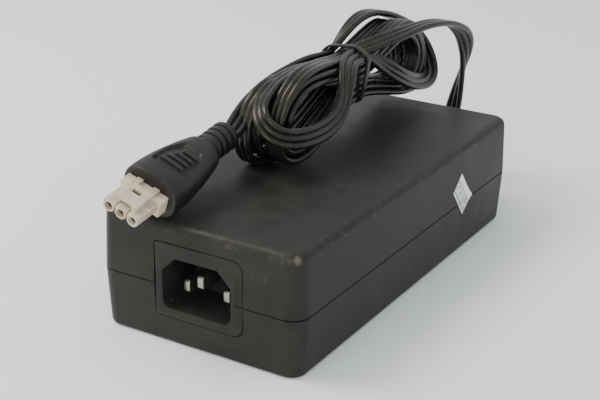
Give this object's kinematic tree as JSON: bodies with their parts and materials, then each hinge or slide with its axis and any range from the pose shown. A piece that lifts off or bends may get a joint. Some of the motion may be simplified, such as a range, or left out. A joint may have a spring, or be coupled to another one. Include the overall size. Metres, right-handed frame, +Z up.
{
  "type": "laptop power adapter",
  "caption": "Black mains power adapter brick with a C14 inlet and a captive flat lead tied in a hank, ending in a three-way connector.",
  "frame": {"origin": "centre of the case's underside, on the surface it stands on", "axes": "+X to the right seen from the mains inlet, +Y along the case towards the lead's exit, +Z up"},
  "size_m": [0.0707, 0.1847, 0.0745],
  "materials": {
    "case_plastic": "satin moulded, fine spark texture",
    "trim_plastic": "satin",
    "label_film": "satin film",
    "seal_paper": "coated paper",
    "tinned_metal": "tinned, bright",
    "line_insulation": "gloss",
    "neutral_insulation": "gloss",
    "earth_insulation": "gloss",
    "insulation_film": "satin film",
    "board_laminate": "solder resist",
    "aluminium_sheet": "mill finish",
    "fuse_ceramic": "glazed ceramic",
    "varistor_epoxy": "epoxy dip",
    "thermistor_epoxy": "epoxy dip",
    "capacitor_yellow": "moulded box",
    "ferrite": "sintered",
    "copper_wire": "enamelled copper",
    "component_epoxy": "moulded epoxy",
    "capacitor_sleeve": "shrink sleeve",
    "bobbin_phenolic": "moulded",
    "tape_yellow": "polyester tape",
    "disc_blue": "epoxy dip",
    "screw_steel": "zinc plated",
    "core_insulation": "three colours: black, white and red",
    "lead_pvc": "glossy flexible PVC",
    "grip_pvc": "satin flexible PVC",
    "tie_plastic": "gloss",
    "connector_nylon": "natural nylon"
  },
  "bodies": {
    "root": {"lower_shell": "case_plastic", "upper_shell": "case_plastic", "rating_label": "label_film", "seal_sticker": "seal_paper", "inlet_housing": "trim_plastic", "line_blade": "tinned_metal", "neutral_blade": "tinned_metal", "earth_blade": "tinned_metal", "line_wire": "line_insulation", "neutral_wire": "neutral_insulation", "earth_wire": "earth_insulation", "insulation_sheet": "insulation_film", "circuit_board": "board_laminate", "heat_spreader": "aluminium_sheet", "fuse": "fuse_ceramic", "varistor": "varistor_epoxy", "inrush_thermistor": "thermistor_epoxy", "x_capacitor": "capacitor_yellow", "choke_core": "ferrite", "choke_windings": "copper_wire", "bridge_rectifier": "component_epoxy", "bulk_capacitor": "capacitor_sleeve", "primary_heatsink": "aluminium_sheet", "switching_transistor": "component_epoxy", "controller_ic": "component_epoxy", "transformer_core": "ferrite", "transformer_bobbin": "bobbin_phenolic", "transformer_winding": "tape_yellow", "y_capacitor": "disc_blue", "optocoupler": "component_epoxy", "secondary_heatsink": "aluminium_sheet", "output_rectifier": "component_epoxy", "heatsink_screws": "screw_steel", "output_choke": "copper_wire", "output_capacitors": "capacitor_sleeve", "output_wires": "core_insulation", "lead_gland": "grip_pvc", "lead_tail": "lead_pvc", "lead_hank": "lead_pvc", "hank_tie": "tie_plastic", "lead_front": "lead_pvc", "plug_grip": "grip_pvc", "plug_housing": "connector_nylon", "plug_contacts": "tinned_metal"}
  },
  "joints": []
}
